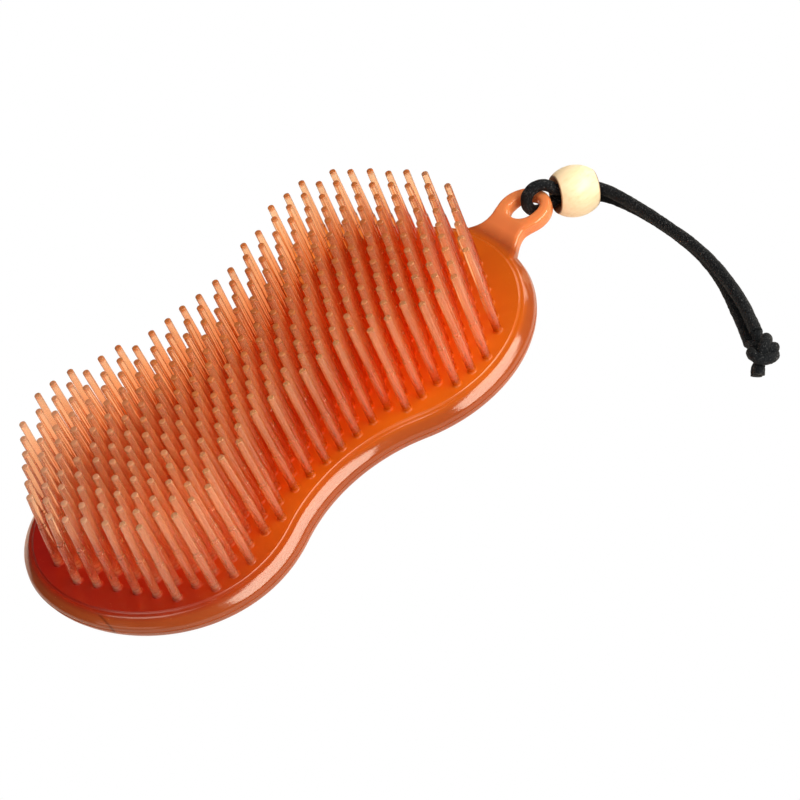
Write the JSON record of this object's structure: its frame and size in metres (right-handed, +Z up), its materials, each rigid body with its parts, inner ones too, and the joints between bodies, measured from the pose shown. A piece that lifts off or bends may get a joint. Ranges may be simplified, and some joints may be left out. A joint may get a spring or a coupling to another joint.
{
  "type": "curry comb",
  "caption": "Peanut-shaped flexible grooming comb with long slender pins, a moulded hang eye, and a looped wrist cord with a wooden slide bead.",
  "frame": {"origin": "under the middle of the moulding's bounding box, on the plane that the flat middle of its back lies on", "axes": "+X along the comb towards the hang eye, +Z up along the pins, +Y across the comb, away from the cord's free end"},
  "size_m": [0.163, 0.113, 0.0352],
  "materials": {
    "elastomer": "glossy translucent",
    "cord": "waxed",
    "bead": "smooth sanded"
  },
  "bodies": {
    "comb": {"comb_body": "elastomer"},
    "lanyard": {"lanyard_cord": "cord", "lanyard_knot": "cord"},
    "bead": {"wooden_bead": "bead"}
  },
  "joints": [
    {"name": "lanyard_swing", "type": "hinge", "parent": "comb", "child": "lanyard", "pos_m": [0.0731, 0, 0.0089], "axis": [-0.3419, -0.9397, 0], "range_deg": [0, 100]},
    {"name": "bead_spin", "type": "hinge", "parent": "lanyard", "child": "bead", "pos_m": [0.08027, -0.00347, 0.0068], "axis": [0.881, -0.353, -0.315], "continuous": true}
  ]
}
